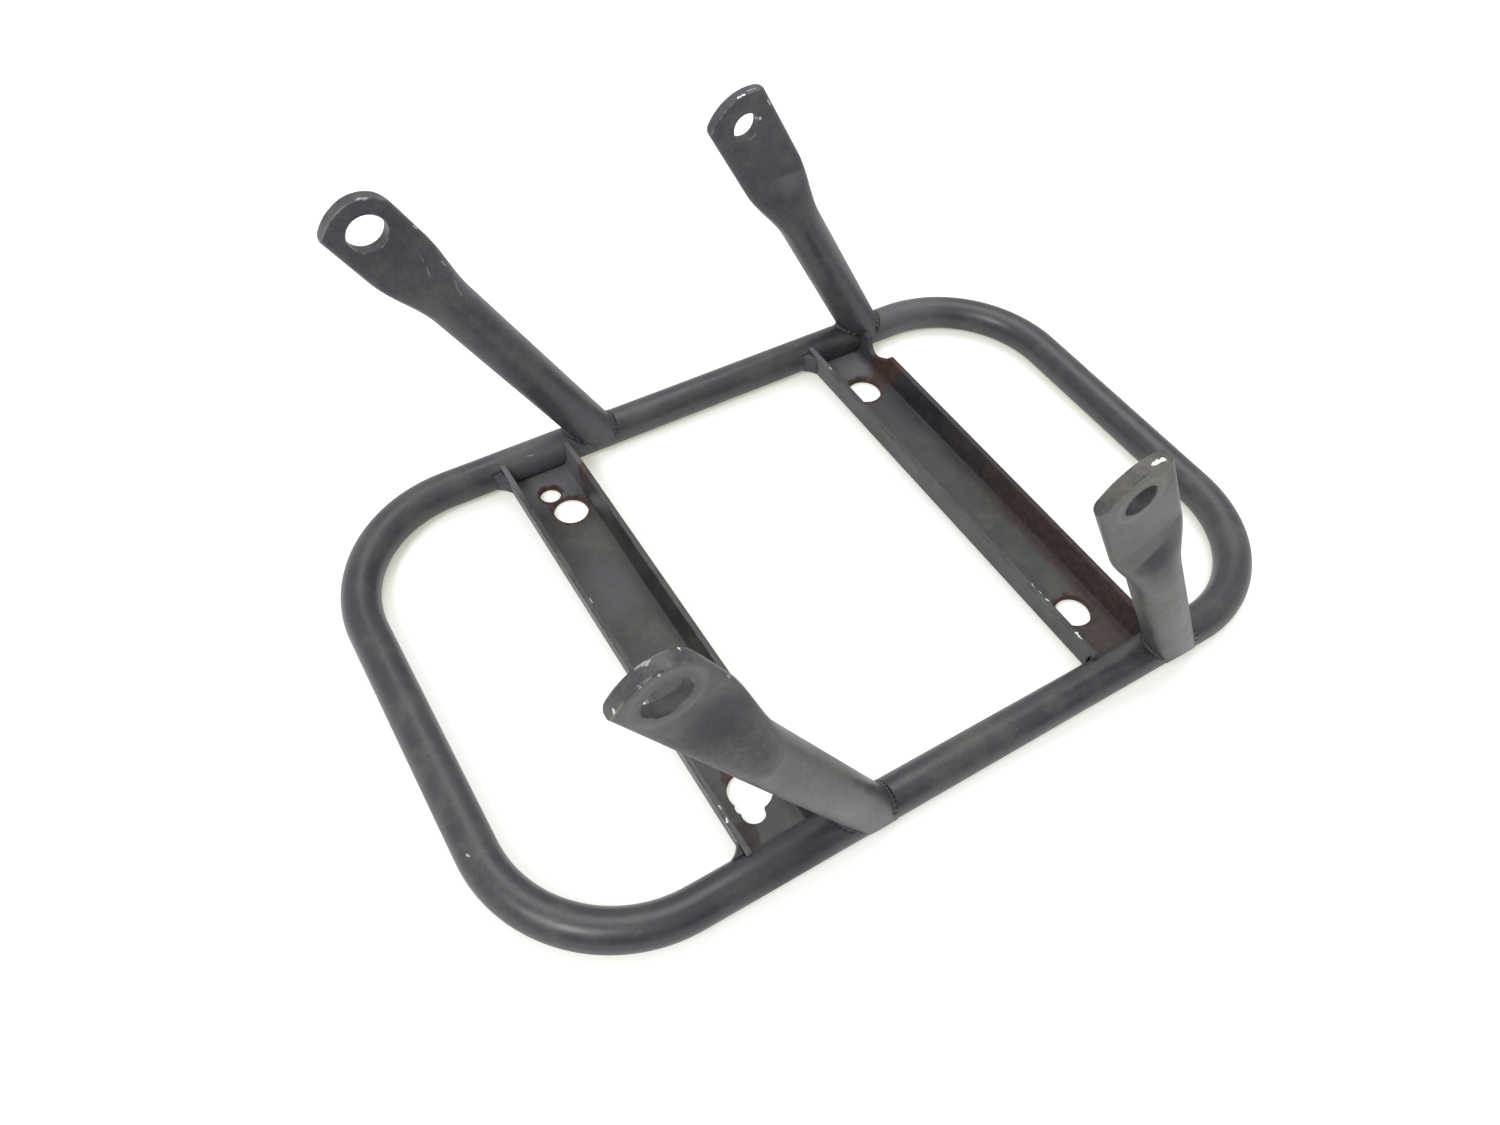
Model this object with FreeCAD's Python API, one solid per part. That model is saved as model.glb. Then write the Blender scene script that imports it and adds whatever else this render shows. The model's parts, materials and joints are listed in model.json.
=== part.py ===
import FreeCAD, Part
import math
import os

# Motorcycle luggage rack, lying upside down on its hoop with the four legs in the air.
# Millimetres. X runs along the long straights of the hoop, Y across it, Z up from the surface it lies on.
# The origin is the middle of the hoop on that surface.

# Hoop: one round tube bent to a rounded rectangle
HOOP_LENGTH = 353.0          # between the tube's centrelines, along X
HOOP_WIDTH = 219.6           # between the tube's centrelines, along Y
HOOP_BEND_RADIUS = 56.0      # to the tube's centreline
HOOP_TUBE_DIAMETER = 16.0
HOOP_TUBE_WALL = 1.5

# Channels: two lengths of folded sheet across the hoop, open side up, with flared flanges
LEFT_CHANNEL_SETBACK = 96.1  # from the centreline of the hoop's left end to the middle of the channel
RIGHT_CHANNEL_SETBACK = 92.9
CHANNEL_SHEET = 2.4
CHANNEL_BASE_WIDTH = 29.4    # outside, at the folds
CHANNEL_MOUTH_WIDTH = 33.4   # outside, at the flange edges
CHANNEL_HEIGHT = 14.5
CHANNEL_LIFT = 0.5           # web above the surface that the hoop lies on
CHANNEL_FOLD_RADIUS = 1.2    # inside the fold
CHANNEL_COPE_DEPTH = 3.6     # how far the ends reach in round the hoop's tube

# Holes through the channel webs
CARRIER_HOLE_DIAMETER = 15.4
CARRIER_HOLE_Y = 77.2
WORN_CARRIER_HOLE_DIAMETER = 16.4   # the right channel's back hole, filed out towards the left
WORN_CARRIER_HOLE_OFFSET = -0.6
LEFT_CARRIER_HOLE_OFFSET = 3.4   # from the middle of the left channel
PILOT_HOLE_DIAMETER = 9.4
PILOT_HOLE_OFFSET = -0.7         # from the middle of the left channel
PILOT_HOLE_BEYOND = 12.6         # past the carrier hole, along Y

# Rust has opened the two front holes of the left channel into one ragged hole
RUST_HOLE_GROWTH = 1.0           # extra radius of the carrier hole
RUST_HOLE_SHIFT = 1.0            # of the carrier hole, across the channel
RUST_PILOT_OFFSET = -2.5         # of the small hole, across the channel
RUST_PILOT_BEYOND = 10.4         # of the small hole, past the carrier hole
RUST_SIDE_BITE_DIAMETER = 5.6    # the eaten side between the two
RUST_SIDE_BITE_OFFSET = -5.1
RUST_SIDE_BITE_BEYOND = 6.6

# Rust has eaten the right channel's right flange down at the back end, as a low ragged bay
BAY_START = 21.6                 # from the hoop's centreline, along Y
BAY_FLOOR_HEIGHT = 7.8           # of the flange that is left, above the web's underside
BAY_STEPS = ((0.0, 1.0), (0.05, 0.63), (0.15, 0.56), (0.33, 0.30), (0.45, 0.16), (0.62, 0.0), (0.80, 0.04),
             (0.92, 0.20), (1.0, 0.42))   # share of the bay's length, share of its depth left standing
BAY_LENGTH = 15.2

# Open slit where one flange end was never welded to the hoop
SLIT_WIDTH = 1.3
SLIT_FLOOR = 4.5                 # flange left touching the hoop below this height

# Welds between flanges and hoop
CORNER_WELD_LEG = 5.0            # along the flange and along the hoop
CORNER_WELD_FOOT = 2.0           # above the web's underside
CORNER_WELD_HEIGHT = 11.0

# Legs: tubes welded on the hoop, leaning along -X, with the free ends flattened into drilled tabs
LEG_DIAMETER = 19.0
LEG_WALL = 2.4
LEG_LEAN = 30.0                  # degrees from upright
LEG_EAR_SLOPE = 18.0             # degrees from upright, of the dressed outsides of the coped foot
LEG_EAR_DROP = 2.0               # how far the coped sides reach below the hoop's centreline
LEG_EAR_EDGE = 0.2               # their thickness off the hoop where they run out
LEG_WELD_LEG = 1.8               # along the leg and along the hoop
WELD_HOLLOW = 0.12               # depth of a weld's hollow face, as a share of the weld's leg

LEFT_LEG_SETBACK = 129.7         # from the centreline of the hoop's left end to the leg's axis
LEFT_HOLE_REACH = 162.5          # along the leg, from the hoop's centreline to the tab's hole
LEFT_TAB_WIDTH = 26.4
LEFT_TAB_INSET = 5.0             # tab pressed towards the inside of the rack
LEFT_TAB_FLAT = 16.0             # flat below the hole
LEFT_FLATTENING = 36.0           # length of the change from round to flat
LEFT_PRESS_START = 0.0           # share of that length where the tube begins to get thinner
LEFT_PRESS_CREASE = 0.0          # 0 where the change ends softly at the tab, 1 where it ends in a crease
LEFT_HOLE_DIAMETER = 14.7
LEFT_TIP_REACH = 13.5            # from the hole to the middle of the tip
LEFT_TIP_RISE = 4.8              # height of the tip's arc over its one corner

RIGHT_LEG_SETBACK = 72.2
RIGHT_LEG_OUTSET = 1.7           # leg axis outside the hoop's centreline
RIGHT_HOLE_REACH = 155.2
RIGHT_TAB_WIDTH = 27.8
RIGHT_TAB_FLAT = 30.0
RIGHT_FLATTENING = 35.0
RIGHT_PRESS_START = 0.0
RIGHT_PRESS_CREASE = 0.6
RIGHT_HOLE_DIAMETER = 11.7
RIGHT_TIP_REACH = 13.6
RIGHT_TIP_RISE = 5.3
TIP_CORNER_RADIUS = 1.6

# Values that follow from the ones above
HOOP_R = HOOP_TUBE_DIAMETER / 2
HOOP_Z = HOOP_R
HOOP_X = HOOP_LENGTH / 2
HOOP_Y = HOOP_WIDTH / 2
LEFT_CHANNEL_X = LEFT_CHANNEL_SETBACK - HOOP_X
RIGHT_CHANNEL_X = HOOP_X - RIGHT_CHANNEL_SETBACK
LEFT_LEG_X = LEFT_LEG_SETBACK - HOOP_X
RIGHT_LEG_X = HOOP_X - RIGHT_LEG_SETBACK
LEG_R = LEG_DIAMETER / 2
TAB_THICKNESS = 2 * LEG_WALL
PRESS_SHARES = (0, 0.17, 0.33, 0.5, 0.67, 0.83)   # of the flattening, where a leg's hollow has a section
LEAN = math.radians(LEG_LEAN)
FLARE = (CHANNEL_MOUTH_WIDTH - CHANNEL_BASE_WIDTH) / 2 / CHANNEL_HEIGHT
CUT = HOOP_LENGTH + HOOP_WIDTH   # longer than any piece that it cuts

V = FreeCAD.Vector
X_AXIS = V(1, 0, 0)
Y_AXIS = V(0, 1, 0)
Z_AXIS = V(0, 0, 1)


def bent_hoop(radius):
    """The hoop as a round bar of the given radius: straights and quarter bends joined into one ring."""
    run_x = HOOP_X - HOOP_BEND_RADIUS
    run_y = HOOP_Y - HOOP_BEND_RADIUS
    bars = []
    for side in (-1, 1):
        bars.append(Part.makeCylinder(radius, 2 * run_x, V(-run_x, side * HOOP_Y, HOOP_Z), X_AXIS))
        bars.append(Part.makeCylinder(radius, 2 * run_y, V(side * HOOP_X, -run_y, HOOP_Z), Y_AXIS))
    for start, sx, sy in ((0, 1, 1), (90, -1, 1), (180, -1, -1), (270, 1, -1)):
        bend = Part.makeTorus(HOOP_BEND_RADIUS, radius, V(0, 0, 0), Z_AXIS, 0, 360, 90)
        bend.rotate(V(0, 0, 0), Z_AXIS, start)
        bend.translate(V(sx * run_x, sy * run_y, HOOP_Z))
        bars.append(bend)
    return bars[0].multiFuse(bars[1:]).removeSplitter().Solids[0]


def straight_bar(radius, side):
    """A long bar along one long straight of the hoop, for coping what meets it."""
    return Part.makeCylinder(radius, 2 * CUT, V(-CUT, side * HOOP_Y, HOOP_Z), X_AXIS)


def hoop_tube():
    return bent_hoop(HOOP_R).cut(bent_hoop(HOOP_R - HOOP_TUBE_WALL)).Solids[0]


def trapezoid_bar(half_base, half_mouth, floor, top, length):
    """A bar along Y whose section widens from half_base at floor to half_mouth at top."""
    corners = [V(-half_base, -length / 2, floor), V(half_base, -length / 2, floor),
               V(half_mouth, -length / 2, top), V(-half_mouth, -length / 2, top)]
    section = Part.Face(Part.makePolygon(corners + corners[:1]))
    return section.extrude(V(0, length, 0))


def round_folds(bar, height, radius):
    """Round the two long edges of a bar that lie at the given height."""
    folds = []
    for edge in bar.Edges:
        box = edge.BoundBox
        if box.YLength > box.XLength + box.ZLength and abs(box.ZMax - height) < CHANNEL_SHEET / 10:
            folds.append(edge)
    return bar.makeFillet(radius, folds)


def channel_length():
    return 2 * (HOOP_Y - HOOP_R + CHANNEL_COPE_DEPTH)


def channel_outside():
    """The channel's outer form, filled, about its own middle."""
    bar = trapezoid_bar(CHANNEL_BASE_WIDTH / 2, CHANNEL_MOUTH_WIDTH / 2, CHANNEL_LIFT,
                        CHANNEL_LIFT + CHANNEL_HEIGHT, channel_length())
    return round_folds(bar, CHANNEL_LIFT, CHANNEL_FOLD_RADIUS + CHANNEL_SHEET)


def channel_inside():
    """The hollow of the channel, one sheet inside its outer form and open above."""
    sheet_across = CHANNEL_SHEET * math.hypot(1, FLARE)
    floor = CHANNEL_LIFT + CHANNEL_SHEET
    top = CHANNEL_LIFT + 2 * CHANNEL_HEIGHT
    half_floor = CHANNEL_BASE_WIDTH / 2 + FLARE * CHANNEL_SHEET - sheet_across
    half_top = CHANNEL_BASE_WIDTH / 2 + FLARE * 2 * CHANNEL_HEIGHT - sheet_across
    bar = trapezoid_bar(half_floor, half_top, floor, top, 2 * channel_length())
    return round_folds(bar, floor, CHANNEL_FOLD_RADIUS)


def web_hole(x, y, diameter):
    return Part.makeCylinder(diameter / 2, CHANNEL_HEIGHT / 2, V(x, y, CHANNEL_LIFT - CHANNEL_SHEET), Z_AXIS)


def plain_channel(middle, leg_bars):
    """A channel across the hoop, its ends coped to the hoop and to any leg that stands on them."""
    channel = channel_outside().cut(channel_inside())
    channel.translate(V(middle, 0, 0))
    bars = [straight_bar(HOOP_R, side) for side in (-1, 1)]
    return channel.cut(bars + leg_bars)


def left_channel(leg_bars):
    carrier_x = LEFT_CHANNEL_X + LEFT_CARRIER_HOLE_OFFSET
    rust_x = LEFT_CHANNEL_X + RUST_HOLE_SHIFT
    holes = [
        web_hole(carrier_x, CARRIER_HOLE_Y, CARRIER_HOLE_DIAMETER),
        web_hole(LEFT_CHANNEL_X + PILOT_HOLE_OFFSET, CARRIER_HOLE_Y + PILOT_HOLE_BEYOND, PILOT_HOLE_DIAMETER),
        web_hole(rust_x, -CARRIER_HOLE_Y - 2 * RUST_HOLE_GROWTH,
                 CARRIER_HOLE_DIAMETER + 2 * RUST_HOLE_GROWTH),
        web_hole(LEFT_CHANNEL_X + RUST_PILOT_OFFSET, -CARRIER_HOLE_Y - RUST_PILOT_BEYOND,
                 PILOT_HOLE_DIAMETER),
        web_hole(LEFT_CHANNEL_X + RUST_SIDE_BITE_OFFSET, -CARRIER_HOLE_Y - RUST_SIDE_BITE_BEYOND,
                 RUST_SIDE_BITE_DIAMETER),
    ]
    return plain_channel(LEFT_CHANNEL_X, leg_bars).cut(holes).Solids[0]


def rust_bay():
    """The ragged bay in the right flange: a saw-edged outline in the YZ plane, pushed through the flange."""
    start = HOOP_Y - BAY_START - BAY_LENGTH / 2
    top = CHANNEL_LIFT + CHANNEL_HEIGHT
    depth = CHANNEL_HEIGHT - BAY_FLOOR_HEIGHT
    floor = CHANNEL_LIFT + BAY_FLOOR_HEIGHT
    x = RIGHT_CHANNEL_X + CHANNEL_BASE_WIDTH / 2 - CHANNEL_FOLD_RADIUS - CHANNEL_SHEET
    edge = [V(x, start + along * BAY_LENGTH, floor + left * depth) for along, left in BAY_STEPS]
    end = edge[-1].y + CHANNEL_SHEET
    above = top + CHANNEL_SHEET
    outline = edge + [V(x, end, top), V(x, end, above), V(x, start, above), edge[0]]
    return Part.Face(Part.makePolygon(outline)).extrude(V(CHANNEL_MOUTH_WIDTH / 2, 0, 0))


def open_slit():
    """Room between the hoop and the front end of the right channel's left flange."""
    ring = straight_bar(HOOP_R + SLIT_WIDTH, -1)
    left = RIGHT_CHANNEL_X - CHANNEL_MOUTH_WIDTH
    right = RIGHT_CHANNEL_X - CHANNEL_BASE_WIDTH / 2 + CHANNEL_FOLD_RADIUS + CHANNEL_SHEET
    return ring.common(Part.makeBox(right - left, CUT, CUT, V(left, -CUT, SLIT_FLOOR)))


def right_channel(leg_bars):
    holes = [
        web_hole(RIGHT_CHANNEL_X, -CARRIER_HOLE_Y, CARRIER_HOLE_DIAMETER),
        web_hole(RIGHT_CHANNEL_X + WORN_CARRIER_HOLE_OFFSET, CARRIER_HOLE_Y, WORN_CARRIER_HOLE_DIAMETER),
    ]
    return plain_channel(RIGHT_CHANNEL_X, leg_bars).cut(holes + [rust_bay(), open_slit()]).Solids[0]


def fillet_bead(corners, first, second, leg):
    """A weld along a row of inside corners: a loft of hollow sections that run out along two directions."""
    half = first.getAngle(second) / 2
    middle = (first + second).normalize()
    sections = []
    for corner in corners:
        start = corner + first * leg
        end = corner + second * leg
        hollow = corner + middle * leg * (math.cos(half) - WELD_HOLLOW)
        root = corner - middle * leg
        edges = [Part.Arc(start, hollow, end).toShape(), Part.makeLine(end, root), Part.makeLine(root, start)]
        sections.append(Part.Wire(edges))
    return Part.makeLoft(sections, True, False)


def corner_weld(middle):
    """The weld up the corner between a channel's left flange and the hoop's back straight."""
    corners = []
    for share in (0, 0.25, 0.5, 0.75, 1):
        z = CHANNEL_LIFT + CORNER_WELD_FOOT + share * CORNER_WELD_HEIGHT
        x = middle - CHANNEL_BASE_WIDTH / 2 - FLARE * (z - CHANNEL_LIFT)
        y = HOOP_Y - math.sqrt(HOOP_R ** 2 - (z - HOOP_Z) ** 2)
        corners.append(V(x, y, z))
    bead = fillet_bead(corners, -X_AXIS, -Y_AXIS, CORNER_WELD_LEG)
    filled = channel_outside()
    filled.translate(V(middle, 0, 0))
    bead = bead.cut([filled, straight_bar(HOOP_R, 1)])
    return max(bead.Solids, key=lambda solid: solid.Volume)


def leg_section(half_width, inset_y, narrow, thick, inset, z):
    """Section of a leg at height z: narrow and thick are 0 where it is flat and 1 where it is round."""
    a = half_width + (LEG_R - half_width) * narrow - inset
    h = TAB_THICKNESS / 2 + (LEG_R - TAB_THICKNESS / 2) * thick - inset
    c = (a - h) * (1 - thick) + a * math.sqrt(0.5) * thick
    y = h * (1 - thick + math.sqrt(0.5) * thick)
    middle = -inset_y * (1 - thick)
    corner = {(i, j): V(i * c, middle + j * y, z) for i in (-1, 1) for j in (-1, 1)}
    edges = []
    for j in (1, -1):
        if thick == 0:
            edges.append(Part.LineSegment(corner[(-j, j)], corner[(j, j)]).toShape())
        else:
            edges.append(Part.Arc(corner[(-j, j)], V(0, middle + j * h, z), corner[(j, j)]).toShape())
        edges.append(Part.Arc(corner[(j, j)], V(j * a, middle, z), corner[(j, -j)]).toShape())
    return Part.Wire(edges)


def eased(share):
    return share * share * (3 - 2 * share)


def pressed_length(half_width, inset_y, foot, length, press, inset, shares):
    """The stretch of a leg that changes from round, at its foot, to flat: a loft through a few sections."""
    start, crease = press
    sections = []
    for share in shares:
        sunk = max(0, (share - start) / (1 - start))
        thick = 1 - crease * sunk ** 2 - (1 - crease) * eased(sunk)
        z = foot + share * length
        sections.append(leg_section(half_width, inset_y, 1 - eased(share), thick, inset, z))
    return Part.makeLoft(sections, True, False)


def tab_blank(half_width, inset_y, foot, top):
    """The flat stretch, before its end is shaped: round-edged like a tube pressed shut."""
    section = Part.Face(leg_section(half_width, inset_y, 0, 0, 0, foot))
    return section.extrude(V(0, 0, top - foot))


def tip_blank(half_width, foot, top, low_rise, high_rise):
    """A tab's outline, pushed through: an arc from the middle of the tip down to each side."""
    def at(across, up):
        return V(across, -CUT, up)

    def half_arc(side, rise):
        radius = (half_width ** 2 + rise ** 2) / (2 * rise)
        turn = math.asin(min(1, half_width / radius)) / 2
        middle = at(side * radius * math.sin(turn), top - radius * (1 - math.cos(turn)))
        return Part.Arc(at(side * half_width, top - rise), middle, at(0, top)).toShape()

    sides = Part.makePolygon([at(-half_width, top - low_rise), at(-half_width, foot), at(half_width, foot),
                              at(half_width, top - high_rise)])
    outline = Part.Wire(sides.Edges + [half_arc(1, high_rise), half_arc(-1, low_rise)])
    return Part.Face(outline).extrude(V(0, 2 * CUT, 0))


def round_corners(blank, sides, half_width, foot):
    """Round a tip's corners on the given sides."""
    corners = []
    for edge in blank.Edges:
        box = edge.BoundBox
        at_side = any(abs(box.Center.x - side * half_width) < half_width / 100 for side in sides)
        if box.YLength > CUT and at_side and box.ZMin > foot + half_width / 100:
            corners.append(edge)
    return blank.makeFillet(TIP_CORNER_RADIUS, corners)


def left_tip(half_width, foot, hole):
    """A tip that is full round towards the leg's upper side and has one corner on its lower side."""
    blank = tip_blank(half_width, foot, hole + LEFT_TIP_REACH, LEFT_TIP_RISE, half_width)
    return round_corners(blank, [-1], half_width, foot)


def right_tip(half_width, foot, hole):
    """A shallow arched tip with a corner at each side."""
    blank = tip_blank(half_width, foot, hole + RIGHT_TIP_REACH, RIGHT_TIP_RISE, RIGHT_TIP_RISE)
    return round_corners(blank, [-1, 1], half_width, foot)


def stand(shape, x, outset):
    """Put a leg that was made along its own Z axis onto the back straight, leaning along -X."""
    shape = shape.copy()
    shape.rotate(V(0, 0, 0), Y_AXIS, -LEG_LEAN)
    shape.translate(V(x, HOOP_Y + outset, HOOP_Z))
    return shape


def foot_room():
    """Where a leg's foot may be: it is dressed down to two slopes that run out on the hoop's sides."""
    slope = math.radians(LEG_EAR_SLOPE)
    corners = []
    for up, side in ((-LEG_EAR_DROP, -1), (-LEG_EAR_DROP, 1), (CUT, 1), (CUT, -1)):
        across = (HOOP_R + LEG_EAR_EDGE + up * math.sin(slope)) / math.cos(slope)
        corners.append(V(-CUT, HOOP_Y + side * across, HOOP_Z + up))
    return Part.Face(Part.makePolygon(corners + corners[:1])).extrude(V(2 * CUT, 0, 0))


def leg_bar(x, outset):
    """A round bar on a leg's axis, dressed like its foot, for coping what meets it."""
    bar = Part.makeCylinder(LEG_R, 4 * LEG_DIAMETER, V(0, 0, -2 * LEG_DIAMETER), Z_AXIS)
    return stand(bar, x, outset).common(foot_room())


def back_leg(x, outset, reach, tab_width, inset_y, tab_flat, flattening, press, hole_diameter, tip):
    """A back leg: round tube from the hoop, pressed flat towards its end, drilled, and coped at its foot."""
    half_width = tab_width / 2
    tab_foot = reach - tab_flat
    press_foot = tab_foot - flattening
    below = -LEG_DIAMETER
    tube = Part.makeCylinder(LEG_R, press_foot - below, V(0, 0, below), Z_AXIS)
    shell = pressed_length(half_width, inset_y, press_foot, flattening, press, 0, PRESS_SHARES + (1,))
    tab = tab_blank(half_width, inset_y, tab_foot, reach + tab_width).common(tip(half_width, tab_foot, reach))
    bore = Part.makeCylinder(LEG_R - LEG_WALL, press_foot - below, V(0, 0, below), Z_AXIS)
    narrowing = pressed_length(half_width, inset_y, press_foot, flattening, press, LEG_WALL, PRESS_SHARES)
    hole = Part.makeCylinder(hole_diameter / 2, 2 * LEG_DIAMETER, V(0, -LEG_DIAMETER, reach), Y_AXIS)
    leg = tube.fuse([shell, tab]).removeSplitter().cut([bore, narrowing, hole])
    leg = stand(leg, x, outset).common(foot_room()).cut(straight_bar(HOOP_R, 1))
    return max(leg.Solids, key=lambda solid: solid.Volume)


def leg_weld(x, outset, side, channels):
    """The weld over the hoop on one side of a leg: its heel, where the leg leans over, or its toe."""
    low = max(-HOOP_R, outset - LEG_R) + LEG_WELD_LEG / 3
    high = min(HOOP_R, outset + LEG_R) - LEG_WELD_LEG / 3
    corners = []
    for turn in (0, 30, 60, 90, 120, 150, 180):
        y = low + (high - low) * (1 - math.cos(math.radians(turn))) / 2
        rise = math.sqrt(HOOP_R ** 2 - y ** 2)
        reach = math.sqrt(LEG_R ** 2 - (y - outset) ** 2) / math.cos(LEAN)
        corners.append(V(x - rise * math.tan(LEAN) + side * reach, HOOP_Y + y, HOOP_Z + rise))
    up_leg = V(-math.sin(LEAN), 0, math.cos(LEAN))
    bead = fillet_bead(corners, X_AXIS * side, up_leg, LEG_WELD_LEG)
    bead = bead.cut([leg_bar(x, outset), bent_hoop(HOOP_R)] + channels)
    return max(bead.Solids, key=lambda solid: solid.Volume)


def to_front(shape):
    return shape.mirror(V(0, 0, 0), Y_AXIS)


def build():
    places = {"left": (LEFT_LEG_X, 0), "right": (RIGHT_LEG_X, RIGHT_LEG_OUTSET)}
    bars = [leg_bar(*place) for place in places.values()]
    bars = bars + [to_front(bar) for bar in bars]
    parts = {
        "hoop_tube": hoop_tube(),
        "left_channel": left_channel(bars),
        "right_channel": right_channel(bars),
        "left_channel_back_weld": corner_weld(LEFT_CHANNEL_X),
        "left_channel_front_weld": to_front(corner_weld(LEFT_CHANNEL_X)),
        "right_channel_back_weld": corner_weld(RIGHT_CHANNEL_X),
    }
    legs = {
        "left": back_leg(LEFT_LEG_X, 0, LEFT_HOLE_REACH, LEFT_TAB_WIDTH, LEFT_TAB_INSET, LEFT_TAB_FLAT,
                         LEFT_FLATTENING, (LEFT_PRESS_START, LEFT_PRESS_CREASE), LEFT_HOLE_DIAMETER,
                         left_tip),
        "right": back_leg(RIGHT_LEG_X, RIGHT_LEG_OUTSET, RIGHT_HOLE_REACH, RIGHT_TAB_WIDTH, 0, RIGHT_TAB_FLAT,
                          RIGHT_FLATTENING, (RIGHT_PRESS_START, RIGHT_PRESS_CREASE), RIGHT_HOLE_DIAMETER,
                          right_tip),
    }
    channels = [parts["left_channel"], parts["right_channel"]]
    mirrored = [to_front(channel) for channel in channels]
    for name, leg in legs.items():
        parts["back_" + name + "_leg"] = leg
        parts["front_" + name + "_leg"] = to_front(leg)
        for end, side in (("heel", -1), ("toe", 1)):
            weld = name + "_leg_" + end + "_weld"
            parts["back_" + weld] = leg_weld(*places[name], side, channels)
            parts["front_" + weld] = to_front(leg_weld(*places[name], side, mirrored))
    return parts


os.makedirs("parts", exist_ok=True)
for node, shape in build().items():
    shape.exportStep("parts/" + node + ".step")
    print(node, len(shape.Solids), round(shape.Volume, 1), shape.isValid())
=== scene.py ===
# %% [markdown]
# # A motorcycle luggage rack
# The rack lies upside down: a hoop of bent steel tube, two folded channels welded across it, and four leaning
# legs whose ends are pressed flat and drilled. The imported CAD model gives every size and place, so this
# lesson only dresses it: it gives the edges their softness, the paint its wear and the steel its rust.

# %% Load the frame
import json
import math

import bmesh
import bpy
from mathutils import Matrix, Vector
from mathutils.bvhtree import BVHTree


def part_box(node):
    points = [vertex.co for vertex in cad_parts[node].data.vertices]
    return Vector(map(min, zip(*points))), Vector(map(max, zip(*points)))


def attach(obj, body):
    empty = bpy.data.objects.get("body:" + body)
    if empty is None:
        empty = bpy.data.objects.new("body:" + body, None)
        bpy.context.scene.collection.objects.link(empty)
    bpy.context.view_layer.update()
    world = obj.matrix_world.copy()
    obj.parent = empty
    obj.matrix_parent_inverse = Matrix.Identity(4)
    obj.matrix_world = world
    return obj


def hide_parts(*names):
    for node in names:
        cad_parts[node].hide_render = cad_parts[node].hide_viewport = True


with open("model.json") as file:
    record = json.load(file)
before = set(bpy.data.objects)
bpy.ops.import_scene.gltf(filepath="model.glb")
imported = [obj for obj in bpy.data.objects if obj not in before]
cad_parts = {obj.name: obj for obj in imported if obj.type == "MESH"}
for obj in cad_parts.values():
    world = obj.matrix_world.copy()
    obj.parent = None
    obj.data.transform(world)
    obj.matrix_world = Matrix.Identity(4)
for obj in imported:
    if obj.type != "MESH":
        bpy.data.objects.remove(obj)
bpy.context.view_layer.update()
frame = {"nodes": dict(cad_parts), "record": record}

MM = 0.001

# %% [markdown]
# ## The camera
# The photograph was taken from above one corner of the hoop. Its viewing angle, roll and focal length were
# found by lining up the hoop's outline, and they are written here as plain angles. Keeping the camera's axes
# as vectors lets us send a ray through any pixel later, which is how a chip finds its place on a tube.

# %% Camera
PHOTO_WIDTH = 1500
PHOTO_HEIGHT = 1125
FOCAL_PIXELS = 1122.843
CAMERA_AZIMUTH = math.radians(-34.911)
CAMERA_ELEVATION = math.radians(51.886)
CAMERA_ROLL = math.radians(4.395)
CAMERA_TARGET = Vector((-21.785, 14.569, 0)) * MM
CAMERA_DISTANCE = 489.528 * MM
SENSOR_WIDTH = 36

level = math.cos(CAMERA_ELEVATION)
back = Vector((math.sin(CAMERA_AZIMUTH) * level, -math.cos(CAMERA_AZIMUTH) * level,
               math.sin(CAMERA_ELEVATION)))
flat_right = Vector((math.cos(CAMERA_AZIMUTH), math.sin(CAMERA_AZIMUTH), 0))
flat_up = back.cross(flat_right)
right = flat_right * math.cos(CAMERA_ROLL) + flat_up * math.sin(CAMERA_ROLL)
up = flat_up * math.cos(CAMERA_ROLL) - flat_right * math.sin(CAMERA_ROLL)
eye = CAMERA_TARGET + back * CAMERA_DISTANCE

lens = bpy.data.cameras.new("photo_camera")
lens.sensor_fit = "HORIZONTAL"
lens.sensor_width = SENSOR_WIDTH
lens.lens = FOCAL_PIXELS / PHOTO_WIDTH * SENSOR_WIDTH
lens.clip_start = 10 * MM
camera = bpy.data.objects.new("photo_camera", lens)
bpy.context.collection.objects.link(camera)
camera.matrix_world = Matrix.Translation(eye) @ Matrix((right, up, back)).transposed().to_4x4()
bpy.context.scene.camera = camera
print("camera at", [round(v, 3) for v in eye], "lens", round(lens.lens, 2))


# %% [markdown]
# ## Shader arithmetic
# A worn surface is a stack of masks: paint here, rust there, bare metal along an edge. Wiring Math nodes by
# hand hides that idea, so one small class wraps a socket and lets Python operators add the nodes.

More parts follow.
